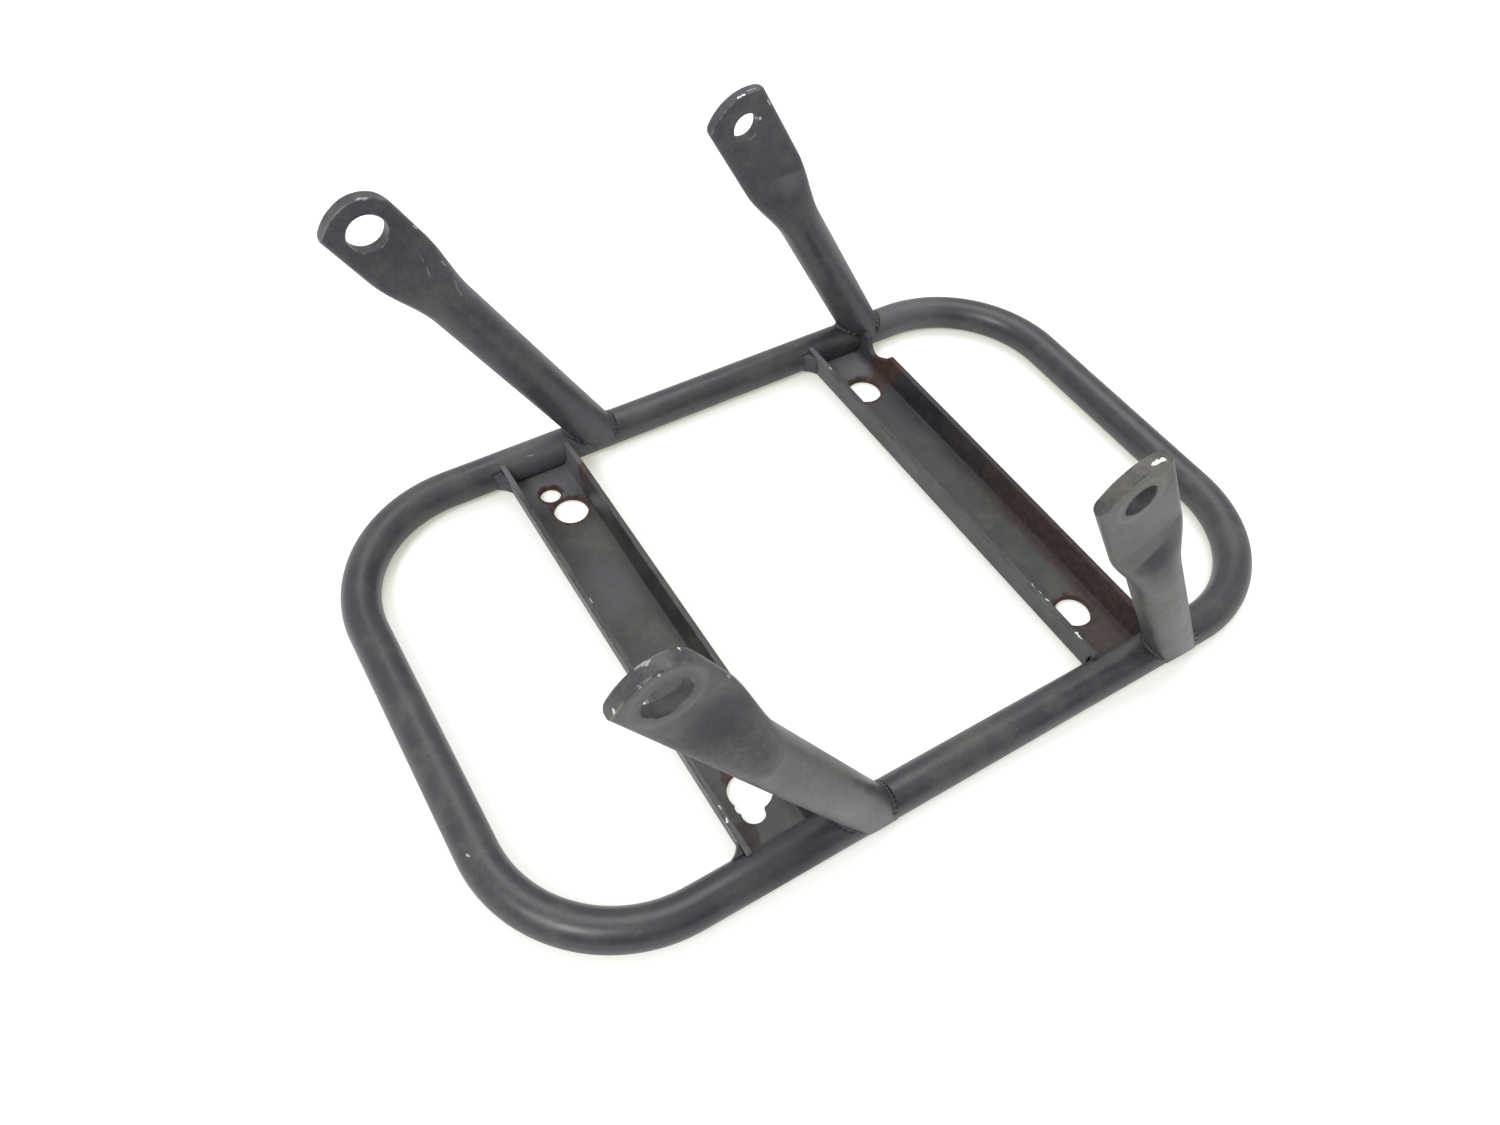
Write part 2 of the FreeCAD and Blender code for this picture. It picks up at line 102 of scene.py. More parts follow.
# %% Sockets that can be added and multiplied
class Wire:
    """One output of a shader tree; arithmetic on it adds Math nodes."""

    def __init__(self, tree, socket=None):
        self.tree = tree
        self.socket = socket

    def add(self, kind, settings=None, inputs=None, output=0):
        node = self.tree.nodes.new(kind)
        for key, value in (settings or {}).items():
            setattr(node, key, value)
        for key, value in (inputs or {}).items():
            if isinstance(value, Wire):
                self.tree.links.new(value.socket, node.inputs[key])
            else:
                node.inputs[key].default_value = value
        return Wire(self.tree, node.outputs[output])

    def math(self, operation, first, second):
        return self.add("ShaderNodeMath", {"operation": operation}, {0: first, 1: second})

    def __add__(self, other):
        return self.math("ADD", self, other)

    def __sub__(self, other):
        return self.math("SUBTRACT", self, other)

    def __mul__(self, other):
        return self.math("MULTIPLY", self, other)

    def __truediv__(self, other):
        return self.math("DIVIDE", self, other)

    def __radd__(self, other):
        return self.math("ADD", other, self)

    def __rsub__(self, other):
        return self.math("SUBTRACT", other, self)

    def __rmul__(self, other):
        return self.math("MULTIPLY", other, self)

    def __rtruediv__(self, other):
        return self.math("DIVIDE", other, self)

    def most(self, other):
        return self.math("MAXIMUM", self, other)

    def over(self, other):
        return self.math("GREATER_THAN", self, other)

    def step(self, low, high):
        """0 below low, 1 above high and smooth between; high may be the smaller one."""
        return self.add("ShaderNodeMapRange", {"interpolation_type": "SMOOTHSTEP"},
                        {0: self, 1: low, 2: high})

    def vector(self, operation, other, output=0):
        return self.add("ShaderNodeVectorMath", {"operation": operation}, {0: self, 1: other}, output)

    def axis(self, name):
        return self.add("ShaderNodeSeparateXYZ", {}, {0: self}, name)

    def noise(self, size, detail=3, rough=0.55):
        """Noise whose blotches are about size metres across, read at this vector."""
        return self.add("ShaderNodeTexNoise", {}, {"Vector": self, "Scale": 0.5 / size, "Detail": detail,
                                                   "Roughness": rough})

    def tint(self, first, second):
        """The first colour where this mask is 0 and the second where it is 1."""
        return self.add("ShaderNodeMix", {"data_type": "RGBA"}, {0: self, 6: first, 7: second}, 2)


print("shader arithmetic ready")


# %% New materials
def new_material(name):
    """A node material: returns it, its Principled shader and a Wire to add nodes with."""
    material = bpy.data.materials.new(name)
    material.use_nodes = True
    shader = material.node_tree.nodes["Principled BSDF"]
    return material, shader, Wire(material.node_tree)


def feed(wire, shader, name):
    wire.tree.links.new(wire.socket, shader.inputs[name])


print("material helpers ready")

# %% [markdown]
# ## Floor and light
# The rack was photographed on a white sheet in a bright room, so its dark paint shows mostly what it mirrors.
# The room is pale overhead and dim towards the viewer, and the world is built that way, by direction. Two
# broad soft lights add shape. The floor glows a little for the camera and for reflections only, so that it
# reads as white while the thin shadow beside each tube stays. The glow is cream, which shows in the shadow.

# %% Floor
FLOOR_SIZE = 12.0
FLOOR_DROP = 0.2 * MM
FLOOR_COLOUR = (0.80, 0.795, 0.775, 1)
FLOOR_SEEN_COLOUR = (0.70, 0.70, 0.78, 1)
FLOOR_GLOW_COLOUR = (1, 0.99, 0.70, 1)
FLOOR_GLOW = 0.36

floor_mesh = bpy.data.meshes.new("floor")
reach = FLOOR_SIZE / 2
corners = [(-reach, -reach, -FLOOR_DROP), (reach, -reach, -FLOOR_DROP), (reach, reach, -FLOOR_DROP),
           (-reach, reach, -FLOOR_DROP)]
floor_mesh.from_pydata(corners, [], [(0, 1, 2, 3)])
floor = bpy.data.objects.new("floor", floor_mesh)
bpy.context.collection.objects.link(floor)

sheet, sheet_shader, wire = new_material("white_sheet")
sheet.node_tree.nodes.remove(sheet_shader)
seen = wire.add("ShaderNodeLightPath", output="Is Camera Ray").most(
    wire.add("ShaderNodeLightPath", output="Is Glossy Ray")).most(
    wire.add("ShaderNodeLightPath", output="Is Transmission Ray"))
plain = wire.add("ShaderNodeBsdfDiffuse", {}, {"Color": FLOOR_COLOUR})
lit = wire.add("ShaderNodeBsdfDiffuse", {}, {"Color": FLOOR_SEEN_COLOUR})
glow = wire.add("ShaderNodeEmission", {}, {"Color": FLOOR_GLOW_COLOUR, "Strength": FLOOR_GLOW})
bright = wire.add("ShaderNodeAddShader", {}, {0: lit, 1: glow})
floor_shader = wire.add("ShaderNodeMixShader", {}, {0: seen, 1: plain, 2: bright})
wire.tree.links.new(floor_shader.socket, sheet.node_tree.nodes["Material Output"].inputs["Surface"])
floor_mesh.materials.append(sheet)
print("floor:", FLOOR_SIZE, "m square")

# %% Room
ROOM_PALE = (0.86, 0.865, 0.87, 1)
ROOM_DIM = (0.20, 0.22, 0.27, 1)

world = bpy.data.worlds.new("room")
world.use_nodes = True
sky = Wire(world.node_tree).add("ShaderNodeTexCoord", output="Generated")
towards_viewer = (sky.axis("Y") * -1).step(0.25, 0.85)
below_ceiling = sky.axis("Z").step(0.75, 0.35)
room = (towards_viewer * below_ceiling).tint(ROOM_PALE, ROOM_DIM)
world.node_tree.links.new(room.socket, world.node_tree.nodes["Background"].inputs["Color"])
bpy.context.scene.world = world
bpy.context.scene.view_settings.view_transform = "Standard"
print("room: pale above, dim towards the viewer")

# %% Lights
LIGHT_COLOUR = (1, 0.99, 0.97)
WINDOW_PLACE = (-0.95, -0.45, 1.25)
WINDOW_SIZE = 0.45
WINDOW_POWER = 13
CEILING_PLACE = (0.3, 0.5, 1.7)
CEILING_SIZE = 1.2
CEILING_POWER = 14


def soft_light(name, place, size, power):
    """A square soft light that looks at the middle of the rack."""
    data = bpy.data.lights.new(name, "AREA")
    data.size = size
    data.energy = power
    data.color = LIGHT_COLOUR
    lamp = bpy.data.objects.new(name, data)
    bpy.context.collection.objects.link(lamp)
    lamp.location = place
    lamp.rotation_euler = (-Vector(place)).to_track_quat("-Z", "Y").to_euler()
    print(name, size, "m wide,", power, "W")


soft_light("window_light", WINDOW_PLACE, WINDOW_SIZE, WINDOW_POWER)
soft_light("ceiling_light", CEILING_PLACE, CEILING_SIZE, CEILING_POWER)

# %% [markdown]
# ## Worn black paint
# The rack wears satin black paint that has gone grey with handling, bluish in places and faded to olive in
# others. Close up it has a faint orange peel, blotches that shine a little more or less, rubbed edges, chips
# down to pale primer and brown rust that creeps out of holes and corners. Some hollows get painted shade and
# some corners painted fill light. One function makes it for every piece, and each piece hands in its own
# stains, chips and layers of painted light and shade.
# Everything is worked out from the place on the rack, so nothing needs unwrapping.

# %% Colours of paint, painted light and shade, and rust
PAINT_BLACK = (0.026, 0.025, 0.034, 1)
PAINT_GREY = (0.061, 0.060, 0.076, 1)
HOOP_GREY = (0.043, 0.044, 0.047, 1)
# Painted light: the front legs get a lighter grey, and the front right leg a warm olive one
FRONT_LEG_PAINTED_LIGHT_GREY = (0.087, 0.087, 0.078, 1)
WARM_PAINTED_LIGHT_GREY = (0.089, 0.083, 0.054, 1)
CHANNEL_GREY = (0.024, 0.024, 0.019, 1)
PAINT_FADED = (0.066, 0.068, 0.054, 1)
# Painted shade: a blue-black laid into hollows, bores, a flange's inner face and beside a joint
PAINTED_SHADE = (0.010, 0.012, 0.021, 1)
# Painted fill light: a pale grey that lifts corners, hollows and part of a leg's tab
PAINTED_FILL_LIGHT = (0.115, 0.110, 0.120, 1)
RUBBED = (0.24, 0.235, 0.22, 1)
PRIMER = (0.74, 0.72, 0.67, 1)
RUST_DARK = (0.028, 0.016, 0.015, 1)
RUST_WARM = (0.088, 0.040, 0.025, 1)
print("paint from", PAINT_BLACK[:3], "to", PAINT_FADED[:3])

# %% Masks, rust and specks
RUST_GRAIN_SIZE = 1.5 * MM


def all_of(masks):
    """The strongest of several masks."""
    result = masks[0]
    for mask in masks[1:]:
        result = result.most(mask)
    return result


def rust_colour(place):
    return place.noise(RUST_GRAIN_SIZE, 4, 0.7).step(0.35, 0.80).tint(RUST_DARK, RUST_WARM)


def specks(place, cell, size):
    """Tiny round specks, about one in four cells of a Voronoi pattern."""
    pattern = {"Vector": place, "Scale": 1 / cell}
    near = place.add("ShaderNodeTexVoronoi", {}, pattern).step(size / cell, 0.5 * size / cell)
    lot = place.add("ShaderNodeTexVoronoi", {}, pattern, "Color").axis("X")
    return near * lot.over(0.75)


print("rust grain:", RUST_GRAIN_SIZE / MM, "mm")

# %% Worn black paint
BLOTCH_SIZE = 16 * MM
FADED_SIZE = 8 * MM
GRAIN_SIZE = 3 * MM
PEEL_SIZE = 0.7 * MM
PIT_SIZE = 0.9 * MM
SPECK_SPACING = 9 * MM
SPECK_SIZE = 0.28 * MM
EDGE_REACH = 1.2 * MM
BUMP_DEPTH = 0.25 * MM


def worn_paint(name, stains=(), chips=(), light_and_shade_layers=(), rubbed=0.8, grey=PAINT_GREY, rough=0.36):
    """Black paint; stains and chips turn a place and a noise into a mask, and painted light and shade layers
    have a colour too.
    """
    material, shader, wire = new_material(name)
    place = wire.add("ShaderNodeTexCoord", output="Object")
    blotch = place.noise(BLOTCH_SIZE, 5)
    grain = place.noise(GRAIN_SIZE, 4, 0.65)
    peel = place.noise(PEEL_SIZE, 2)
    tone = blotch * 0.5 + grain * 0.3 + peel * 0.2
    faded = place.noise(FADED_SIZE, 3).step(0.42, 0.62) * 0.6
    colour = tone.step(0.38, 0.64).tint(PAINT_BLACK, faded.tint(grey, PAINT_FADED))
    flat = wire.add("ShaderNodeNewGeometry", output="Normal")
    soft = wire.add("ShaderNodeBevel", {"samples": 6}, {"Radius": EDGE_REACH})
    edge = (1 - flat.vector("DOT_PRODUCT", soft, 1)).step(0.02, 0.18) * grain.step(0.40, 0.62) * rubbed
    colour = edge.tint(colour, RUBBED)
    colour = (specks(place, SPECK_SPACING, SPECK_SIZE) * 0.5).tint(colour, RUBBED)
    roughness = rough + 0.14 * blotch.step(0.35, 0.65) + 0.08 * grain
    height = peel * 0.3 + grain * 0.4
    # Each layer tints the paint towards its painted shade or painted fill light colour
    for mask, light_and_shade_colour in light_and_shade_layers:
        light_and_shade_mask = mask(place, grain)
        colour = light_and_shade_mask.tint(colour, light_and_shade_colour)
        roughness = roughness + light_and_shade_mask * 0.15
    if stains:
        stain = all_of([mask(place, grain) for mask in stains])
        colour = stain.tint(colour, rust_colour(place))
        roughness = roughness + stain * 0.35
        height = height + stain * place.noise(PIT_SIZE, 4, 0.7) * 1.2
    if chips:
        bare = all_of([mask(place, peel) for mask in chips])
        colour = bare.tint(colour, PRIMER)
        height = height - bare * 0.9
    feed(colour, shader, "Base Color")
    feed(roughness, shader, "Roughness")
    bump = wire.add("ShaderNodeBump", {}, {"Height": height, "Strength": 0.4, "Distance": BUMP_DEPTH,
                                           "Normal": soft})
    feed(bump, shader, "Normal")
    print("paint:", name, len(material.node_tree.nodes), "nodes")
    return material


print("paint grain:", GRAIN_SIZE / MM, "mm, orange peel:", PEEL_SIZE / MM, "mm")

# %% [markdown]
# ## Where the wear is
# Rust starts at drilled edges, because the drill cuts through the paint, so rings of it follow the bores that
# the record lists. Chips are single accidents: each one is given by the pixels where the photograph shows it,
# and a ray from the camera finds the same spot on the CAD skin. The mask then lives on the rack, not in the
# picture. Painted shade and painted fill light have no outline of their own: they fade out from a hollow.

# %% From a pixel to a place on the skin
bores = {mount["name"]: mount for mount in frame["record"]["mounts"] if mount["kind"] == "bore"}


def skin_tree(node):
    mesh = frame["nodes"][node].data
    return BVHTree.FromPolygons([v.co for v in mesh.vertices], [f.vertices for f in mesh.polygons])


def touch(node, pixel):
    """The place on a CAD node that shows at a pixel of the photograph, or the nearest one on the node."""
    tree = skin_tree(node)
    x = (pixel[0] - PHOTO_WIDTH / 2) / FOCAL_PIXELS
    y = (PHOTO_HEIGHT / 2 - pixel[1]) / FOCAL_PIXELS
    ray = (right * x + up * y - back).normalized()
    hit = tree.ray_cast(eye, ray)[0]
    if hit is None:
        low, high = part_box(node)
        hit = tree.find_nearest(eye + ray * (low.lerp(high, 0.5) - eye).dot(ray))[0]
    return hit


print("bores with rust rings:", sorted(bores))


# %% Rust round a bore or a point
def hole_rust(bore, spread, strength=1.0):
    """Rust that creeps out of a bore by about spread."""
    middle = Vector(bore["pos_m"])
    across = Vector([1 - abs(v) for v in bore["axis"]])
    edge = bore["dims"]["r_mm"] * MM

    def mask(place, grain):
        away = place.vector("SUBTRACT", middle).vector("MULTIPLY", across)
        radius = away.add("ShaderNodeVectorMath", {"operation": "LENGTH"}, {0: away}, 1)
        ring = (radius + (grain - 0.5) * spread * 2.5).step(edge + spread, edge + 0.2 * spread)
        return ring * strength
    return mask


def spot_rust(centre, inner, outer, strength=1.0):
    """A ragged patch of rust round a point."""
    def mask(place, grain):
        away = place.vector("DISTANCE", centre, 1)
        zone = away.step(outer, inner)
        return (zone * 1.1 + (grain - 0.5) * 1.6).step(0.42, 0.80) * strength
    return mask


def rust_spots(node, marks):
    """Patches of rust from rows of pixel, inner and outer reach in mm, strength."""
    return [spot_rust(touch(node, pixel), inner * MM, outer * MM, strength)
            for pixel, inner, outer, strength in marks]


print("rust masks ready")


# %% Patches of painted light and shade, and chips
def haze(centre, inner, outer, strength=1.0):
    """A soft patch round a point, for painted shade and painted fill light."""
    def mask(place, grain):
        return (place.vector("DISTANCE", centre, 1) + (grain - 0.5) * inner).step(outer, inner) * strength
    return mask


def chip(node, first, last, width, strength=1.0):
    """A chip or scratch on a node from one pixel to another, width in metres."""
    start = touch(node, first)
    run = touch(node, last) - start
    length_squared = max(run.length_squared, 1e-12)

    def mask(place, fine):
        offset = place.vector("SUBTRACT", start)
        along = offset.vector("DOT_PRODUCT", run, 1) / length_squared
        share = along.add("ShaderNodeClamp", {}, {"Value": along})
        nearest = place.add("ShaderNodeVectorMath", {"operation": "SCALE"}, {0: run, "Scale": share})
        away = offset.vector("DISTANCE", nearest, 1)
        return (away + (fine - 0.5) * width * 3).step(width * 0.75, width * 0.45) * strength
    return mask


def chip_marks(node, marks):
    """Chips from rows of first pixel, last pixel, width in mm, strength."""
    return [chip(node, first, last, width * MM, strength) for first, last, width, strength in marks]


print("dirt and chip masks ready")

# %% [markdown]
# ## The hoop
# On the real rack one length of tube is bent four times and closed with a weld. A modeller could sweep a
# circle along a path drawn by hand, but the path follows a rule, so Geometry Nodes draws it: a rectangle
# whose corners are filleted, swept with a round profile. All sizes but the bend come from the CAD node that
# it stands for.

# %% Geometry node helpers
def new_tree(name, inputs):
    """A geometry node tree with a mesh in and out and named numbers; returns it and its inputs as wires."""
    tree = bpy.data.node_groups.new(name, "GeometryNodeTree")
    tree.interface.new_socket("Geometry", in_out="INPUT", socket_type="NodeSocketGeometry")
    for label in inputs:
        tree.interface.new_socket(label, in_out="INPUT", socket_type="NodeSocketFloat")
    tree.interface.new_socket("Geometry", in_out="OUTPUT", socket_type="NodeSocketGeometry")
    given = tree.nodes.new("NodeGroupInput")
    return tree, {socket.name: Wire(tree, socket) for socket in given.outputs if socket.name}


def close_tree(result, material):
    """End a tree: real meshes, painted, at its output."""
    solid = result.add("GeometryNodeRealizeInstances", {}, {"Geometry": result})
    painted = solid.add("GeometryNodeSetMaterial", {}, {"Geometry": solid, "Material": material})
    output = result.tree.nodes.new("NodeGroupOutput")
    result.tree.links.new(painted.socket, output.inputs[0])
    return result.tree


def keep_result(piece):
    """Replace a piece's mesh and modifiers by the plain mesh that they make."""
    bpy.context.view_layer.update()
    evaluated = piece.evaluated_get(bpy.context.evaluated_depsgraph_get())
    mesh = bpy.data.meshes.new_from_object(evaluated)
    piece.modifiers.clear()
    piece.data = mesh
    mesh.name = piece.name


def run_tree(piece, tree, values):
    """Set the tree's inputs on a modifier, then keep what it makes."""
    modifier = piece.modifiers.new(tree.name, "NODES")
    modifier.node_group = tree
    for item in tree.interface.items_tree:
        if item.in_out == "INPUT" and item.name in values:
            modifier[item.identifier] = values[item.name]
    keep_result(piece)


def finish_piece(piece, node):
    """The piece rides on the rack and stands for a CAD node."""
    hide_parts(node)
    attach(piece, "root")


print("geometry node helpers ready")

# %% A tree that bends the hoop
BEND_STEPS = 40
TUBE_STEPS = 56


def hoop_tree(material):
    tree, size = new_tree("bent_hoop", ["Length", "Width", "Bend Radius", "Tube Radius", "Height"])
    wire = Wire(tree)
    outline = wire.add("GeometryNodeCurvePrimitiveQuadrilateral", {"mode": "RECTANGLE"},
                       {"Width": size["Length"], "Height": size["Width"]})
    bends = wire.add("GeometryNodeFilletCurve", {"mode": "POLY"},
                     {"Curve": outline, "Radius": size["Bend Radius"], "Count": BEND_STEPS})
    lift = wire.add("ShaderNodeCombineXYZ", {}, {"Z": size["Height"]})
    placed = wire.add("GeometryNodeTransform", {}, {"Geometry": bends, "Translation": lift})
    profile = wire.add("GeometryNodeCurvePrimitiveCircle", {},
                       {"Resolution": TUBE_STEPS, "Radius": size["Tube Radius"]})
    tube = wire.add("GeometryNodeCurveToMesh", {}, {"Curve": placed, "Profile Curve": profile})
    return close_tree(wire.add("GeometryNodeSetShadeSmooth", {}, {"Geometry": tube}), material)


print("hoop tree:", BEND_STEPS, "steps in a bend,", TUBE_STEPS, "round the tube")

# %% Hoop
HOOP_BEND_RADIUS = 56 * MM
HOOP_ROUGHNESS = 0.30
# Each chip: first pixel, last pixel, width in mm, strength
HOOP_CHIPS = [((467, 855), (469, 856), 0.5, 0.4), ((816, 353), (818, 355), 0.5, 0.4),
              ((528, 456), (533, 455), 0.3, 0.3)]
# Each patch of painted light and shade: pixel, inner and outer reach in mm, strength, colour
HOOP_LIGHT_AND_SHADE = [((540, 450), 6, 30, 0.5, PAINTED_FILL_LIGHT), ((905, 318), 4, 30, 0.5, PAINTED_FILL_LIGHT), ((785, 850), 6, 26, 0.6, PAINTED_SHADE)]

hoop_light_and_shade = [(haze(touch("hoop_tube", pixel), inner * MM, outer * MM, strength), light_and_shade_colour)
               for pixel, inner, outer, strength, light_and_shade_colour in HOOP_LIGHT_AND_SHADE]
hoop_paint = worn_paint("hoop_paint", rough=HOOP_ROUGHNESS, grey=HOOP_GREY, light_and_shade_layers=hoop_light_and_shade,
                        chips=chip_marks("hoop_tube", HOOP_CHIPS))
low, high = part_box("hoop_tube")
tube_radius = (high.z - low.z) / 2
hoop = bpy.data.objects.new("hoop", bpy.data.meshes.new("hoop"))
bpy.context.collection.objects.link(hoop)
run_tree(hoop, hoop_tree(hoop_paint), {"Length": high.x - low.x - 2 * tube_radius,
                                       "Width": high.y - low.y - 2 * tube_radius,
                                       "Bend Radius": HOOP_BEND_RADIUS, "Tube Radius": tube_radius,
                                       "Height": low.z + tube_radius})
finish_piece(hoop, "hoop_tube")
print("hoop:", len(hoop.data.polygons), "faces, tube", round(tube_radius / MM, 2), "mm in radius")

# %% [markdown]
# ## The folded channels
# Each channel is one strip of sheet with its sides folded up. The CAD skin has that shape already, but it
# comes as loose triangles, so a copy is merged into one skin first. Flat faces are joined, sharp edges get a
# bevel, and normals are weighted by face size so that flats stay flat right up to it. The modifier keeps
# bevels from overlapping, and the short edges of these skins hold it far below the width asked for. What
# shows as a rounded edge of paint comes from the Bevel node in the material.

# %% Copies of the CAD skins
MERGE_DISTANCE = 0.002 * MM
FLAT_ANGLE = math.radians(0.4)
SHARP_ANGLE = math.radians(35)
BEVEL_ANGLE = math.radians(40)
EDGE_SOFTNESS = 0.35 * MM


def skin_copy(node, material):
    """A merged copy of a CAD node's mesh, as a piece of its own."""
    mesh = frame["nodes"][node].data.copy()
    mesh.name = "worn_" + node
    work = bmesh.new()
    work.from_mesh(mesh)
    bmesh.ops.remove_doubles(work, verts=work.verts, dist=MERGE_DISTANCE)
    bmesh.ops.dissolve_limit(work, angle_limit=FLAT_ANGLE, verts=work.verts, edges=work.edges)
    work.to_mesh(mesh)
    work.free()
    mesh.materials.clear()
    mesh.materials.append(material)
    mesh.shade_smooth()
    mesh.set_sharp_from_angle(angle=SHARP_ANGLE)
    piece = bpy.data.objects.new("worn_" + node, mesh)
    bpy.context.collection.objects.link(piece)
    return piece


def soften(piece):
    """Bevel the sharp edges and weight the normals."""
    bevel = piece.modifiers.new("soft_edges", "BEVEL")
    bevel.width = EDGE_SOFTNESS
    bevel.segments = 2
    bevel.limit_method = "ANGLE"
    bevel.angle_limit = BEVEL_ANGLE
    weighted = piece.modifiers.new("flat_normals", "WEIGHTED_NORMAL")
    weighted.keep_sharp = True
    keep_result(piece)
    return piece


print("bevels of", EDGE_SOFTNESS / MM, "mm at most")

# %% Rust, painted shade and painted fill light of a channel
RUST_FRONT = -60 * MM
RUST_BACK = 60 * MM
FILL_LIGHT_START = 76 * MM
FILL_LIGHT_FULL = 96 * MM


def flange_rust(face_x):
    """Rust on a channel's right flange, stronger from back to front, and thin over the web beside it."""
    def mask(place, grain):
        inside = place.axis("X").step(face_x - 9 * MM, face_x)
        along = place.axis("Y").step(RUST_BACK, RUST_FRONT)
        amount = (inside * 0.75 + 0.25) * (0.5 + 0.7 * along)
        return (amount + (grain - 0.5) * 1.5).step(0.45, 0.95) * (0.42 + 0.30 * along)
    return mask


def flange_shade(face_x):
    """Painted shade on the inner face of a channel's right flange."""
    def mask(place, grain):
        return (place.axis("X") + (grain - 0.5) * 4 * MM).step(face_x - 3 * MM, face_x) * 0.7
    return mask


def end_fill_light(place, grain):
    """Painted fill light in the corners at the back end of a channel, where it meets the hoop."""
    return (place.axis("Y") + (grain - 0.5) * 8 * MM).step(FILL_LIGHT_START, FILL_LIGHT_FULL) * 0.9


# The channels' painted fill light starts and is full at these distances along the channel
channel_fill_light = [(end_fill_light, PAINTED_FILL_LIGHT)]
print("dust from", FILL_LIGHT_START / MM, "mm, full at", FILL_LIGHT_FULL / MM, "mm")

# %% Left channel
CHANNEL_RUBBED = 0.4
# Each patch of rust: pixel, inner and outer reach in mm, strength
LEFT_RUST = [((748, 806), 10, 17, 0.85), ((745, 835), 3, 9, 0.5), ((561, 530), 2, 7, 0.4),
             ((584, 474), 3, 9, 0.8)]
LEFT_CHIPS = [((719, 806), (721, 809), 0.5, 0.5), ((726, 819), (727, 822), 0.7, 0.7),
              ((590, 598), (592, 602), 0.4, 0.5)]

left_stains = [hole_rust(bores["left_channel_back_bore"], 2.2 * MM),
               hole_rust(bores["left_channel_small_bore"], 2.0 * MM)] + rust_spots("left_channel", LEFT_RUST)
left_paint = worn_paint("left_channel_paint", rubbed=CHANNEL_RUBBED, grey=CHANNEL_GREY, light_and_shade_layers=channel_fill_light,
                        stains=left_stains, chips=chip_marks("left_channel", LEFT_CHIPS))
left_channel = soften(skin_copy("left_channel", left_paint))
finish_piece(left_channel, "left_channel")
print("left channel:", len(left_channel.data.polygons), "faces")

# %% Right channel
FLANGE_FACE_INSET = 4 * MM
BITE_PIXEL = (886, 362)
RIGHT_RUST = [(BITE_PIXEL, 7, 16, 1.0), ((1096, 634), 6, 16, 0.55)]
RIGHT_CHIPS = [((1032, 584), (1034, 587), 0.35, 0.5), ((1039, 591), (1041, 593), 0.4, 0.6),
               ((1046, 599), (1049, 601), 0.5, 0.7), ((1077, 633), (1080, 638), 0.8, 0.8),
               ((830, 367), (831, 369), 0.4, 0.5)]

right_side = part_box("right_channel")[1].x
flange_face = right_side - FLANGE_FACE_INSET
right_stains = [hole_rust(bores["right_channel_back_bore"], 2.6 * MM),
                hole_rust(bores["right_channel_front_bore"], 2.6 * MM)]
right_stains += rust_spots("right_channel", RIGHT_RUST) + [flange_rust(flange_face)]
right_light_and_shade = channel_fill_light + [(flange_shade(flange_face), PAINTED_SHADE)]
right_paint = worn_paint("right_channel_paint", rubbed=CHANNEL_RUBBED, grey=CHANNEL_GREY, light_and_shade_layers=right_light_and_shade,
                         stains=right_stains, chips=chip_marks("right_channel", RIGHT_CHIPS))
right_channel = soften(skin_copy("right_channel", right_paint))
finish_piece(right_channel, "right_channel")
print("right channel:", len(right_channel.data.polygons), "faces")

# %% [markdown]
# ## Rust scale
# Where the right flange is eaten, rust stands up in small flakes. They repeat by the hundred and follow the
# surface, so Geometry Nodes scatters them: points on the flange's inner face, thicker towards the front and
# round the eaten bay, each with a flattened crumb turned its own way. The seed is fixed, so every run gives
# the same.

# %% A tree that scatters rust scale
FLAKE_SIZE = 0.32 * MM
FLAKE_SMALLEST = (0.4, 0.4, 0.15)
FLAKE_LARGEST = (1.5, 1.5, 0.5)
FLAKES_PER_SQUARE_METRE = 190000
BITE_NEAR = 5 * MM
BITE_FAR = 14 * MM
SCATTER_SEED = 7
FLAKE_SEED = 3

bite = touch("right_channel", BITE_PIXEL)


def rust_scale_material():
    material, shader, wire = new_material("rust_scale")
    place = wire.add("ShaderNodeTexCoord", output="Object")
    feed(rust_colour(place), shader, "Base Color")
    feed(0.75 + 0.2 * place.noise(1 * MM), shader, "Roughness")
    return material


def scale_tree(material):
    tree, given = new_tree("rust_scale", ["Flange", "Front", "Back", "Density", "Flake Size"])
    wire = Wire(tree)
    place = wire.add("GeometryNodeInputPosition")
    facing = wire.add("GeometryNodeInputNormal").axis("X")
    inner_face = place.axis("X").over(given["Flange"]) * (facing * -1).over(0.5)
    along = place.axis("Y").step(given["Back"], given["Front"])
    eaten = place.vector("DISTANCE", bite, 1).step(BITE_FAR, BITE_NEAR)
    density = given["Density"] * inner_face * (0.1 + 0.9 * along).most(eaten)
    points = wire.add("GeometryNodeDistributePointsOnFaces", {"distribute_method": "RANDOM"},
                      {"Mesh": given["Geometry"], "Density": density, "Seed": SCATTER_SEED})
    turned = Wire(tree, points.socket.node.outputs["Rotation"])
    flake = wire.add("GeometryNodeMeshIcoSphere", {}, {"Radius": given["Flake Size"], "Subdivisions": 1})
    shape = wire.add("FunctionNodeRandomValue", {"data_type": "FLOAT_VECTOR"},
                     {"Min": FLAKE_SMALLEST, "Max": FLAKE_LARGEST, "Seed": FLAKE_SEED})
    flakes = wire.add("GeometryNodeInstanceOnPoints", {}, {"Points": points, "Instance": flake,
                                                           "Rotation": turned, "Scale": shape})
    return close_tree(flakes, material)


print("rust flakes:", FLAKE_SIZE / MM, "mm, centred on", [round(v, 4) for v in bite])

# %% Rust scale on the right channel
SCALE_INSET = 6 * MM

